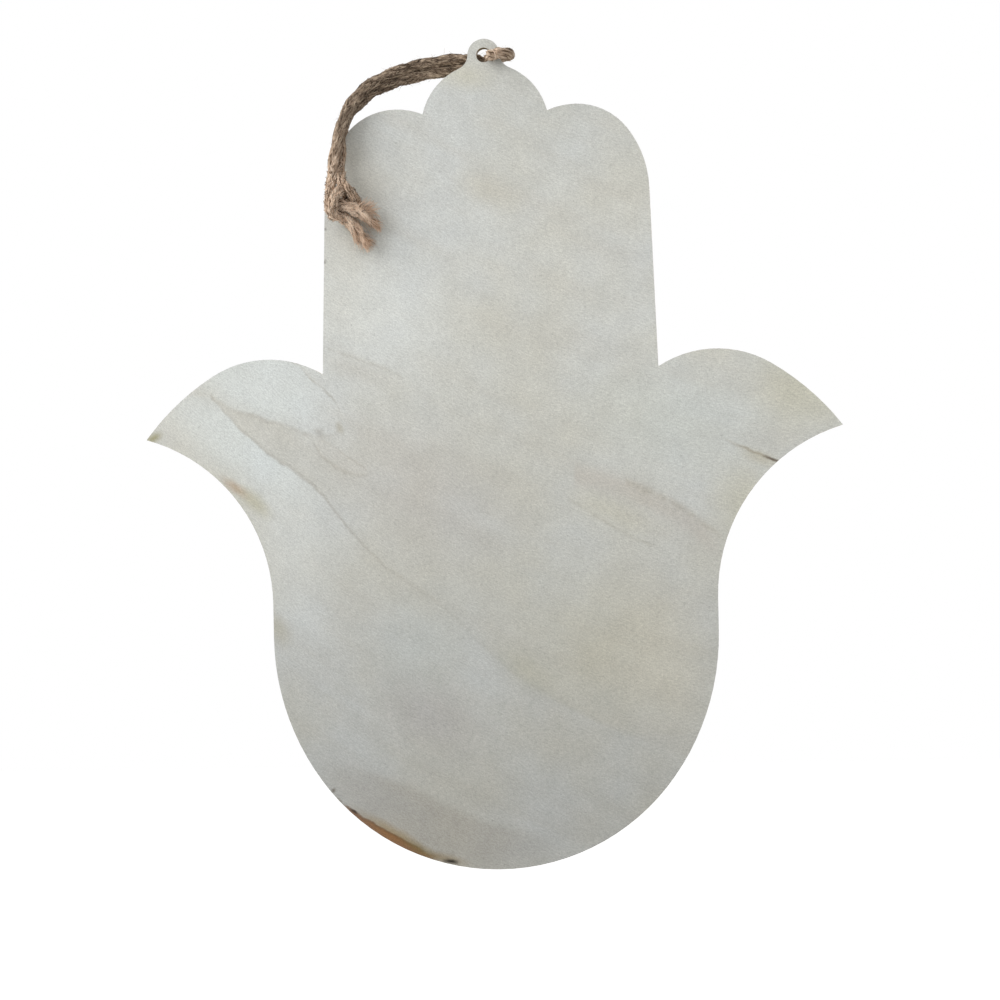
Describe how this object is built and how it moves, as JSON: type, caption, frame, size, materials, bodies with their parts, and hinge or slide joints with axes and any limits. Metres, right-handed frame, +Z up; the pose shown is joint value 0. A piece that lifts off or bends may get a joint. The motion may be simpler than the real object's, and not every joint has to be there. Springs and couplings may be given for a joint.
{
  "type": "hamsa hand ornament",
  "caption": "Flat plywood hand ornament with two curled thumbs and a ring on the middle finger, hung by a knotted loop of jute twine.",
  "frame": {"origin": "centre of the hole in the hanging ring, at half the board's thickness: the point where the twine carries the board", "axes": "+Z up along the middle finger, -Y out of the board's front face (the face that the knot lies on), +X to the right as seen from the front"},
  "size_m": [0.2112, 0.0171, 0.2512],
  "materials": {
    "face_veneer": "bare sanded poplar veneer, pale grey-ivory, matt",
    "core_veneer": "bare poplar core veneer, cut edge, matt",
    "jute_twine": "natural jute twine, hairy, matt"
  },
  "bodies": {
    "board": {"front_veneer": "face_veneer", "core_veneer": "core_veneer", "back_veneer": "face_veneer", "twine_bight": "jute_twine"},
    "loop": {"twine_leg_upper": "jute_twine", "twine_leg_lower": "jute_twine", "twine_knot": "jute_twine", "twine_tail_upper": "jute_twine", "twine_tail_lower": "jute_twine"}
  },
  "joints": [
    {"name": "loop_swing", "type": "hinge", "parent": "board", "child": "loop", "pos_m": [-0.0115, 0.004, -0.0029], "axis": [-0.9826, 0, -0.1857], "range_deg": [0, 180]}
  ]
}
